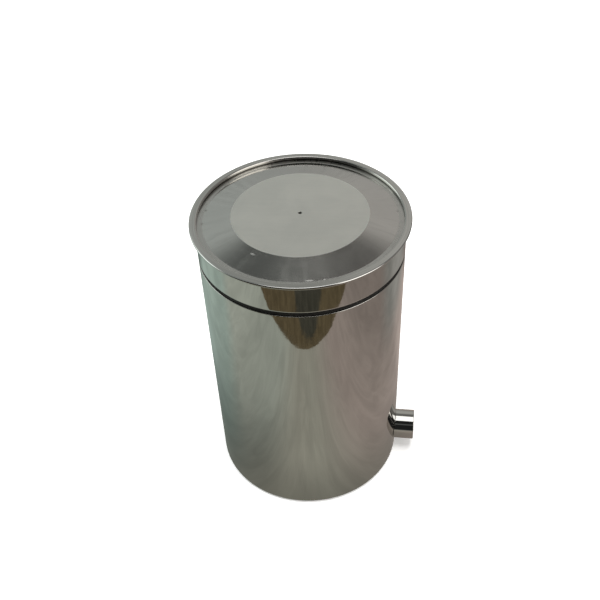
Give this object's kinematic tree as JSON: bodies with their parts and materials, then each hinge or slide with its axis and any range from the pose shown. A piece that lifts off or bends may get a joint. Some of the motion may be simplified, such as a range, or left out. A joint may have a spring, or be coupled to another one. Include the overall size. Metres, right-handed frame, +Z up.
{
  "type": "liquid nitrogen dewar",
  "caption": "Wide-mouthed double-walled vacuum dewar of polished steel, with a lift-off insulated lid and a capped evacuation port low on its side.",
  "frame": {"origin": "on the floor under the four rubber feet, on the vessel's axis", "axes": "+Z up along the vessel's axis, through the mouth and the lid's vent hole; +X outwards along the evacuation port's axis"},
  "size_m": [0.2258, 0.2096, 0.3214],
  "materials": {
    "mirror_steel": "polished",
    "satin_steel": "satin",
    "mill_steel": "satin",
    "black_rubber": "matte",
    "foil_blanket": "satin",
    "glass_fibre": "satin",
    "rigid_foam": "matte"
  },
  "bodies": {
    "vessel": {"outer_shell": "mirror_steel", "outer_base": "mill_steel", "rubber_feet": "black_rubber", "inner_wall": "mill_steel", "inner_base": "mill_steel", "neck_ring": "mirror_steel", "superinsulation_wrap": "foil_blanket", "superinsulation_base": "foil_blanket", "sorbent_canister": "mill_steel", "base_socket": "mill_steel", "inner_socket": "mill_steel", "support_post": "glass_fibre", "port_tube": "mill_steel", "port_cap_o_ring": "black_rubber"},
    "lid": {"lid_gasket": "black_rubber", "lid_skirt": "mirror_steel", "lid_rim": "mirror_steel", "lid_top_plate": "satin_steel", "lid_plug_pan": "mill_steel", "lid_foam": "rigid_foam", "lid_vent_tube": "mill_steel"},
    "port_cap": {"port_cap": "mirror_steel"},
    "port_plug": {"port_plug": "mill_steel", "port_plug_o_rings": "black_rubber"}
  },
  "joints": [
    {"name": "lid_lift", "type": "slide", "parent": "vessel", "child": "lid", "axis": [0, 0, 1], "range_m": [0, 0.12]},
    {"name": "port_cap_pull", "type": "slide", "parent": "vessel", "child": "port_cap", "axis": [1, 0, 0], "range_m": [0, 0.03]},
    {"name": "port_plug_lift", "type": "slide", "parent": "vessel", "child": "port_plug", "axis": [1, 0, 0], "range_m": [0, 0.004]}
  ]
}
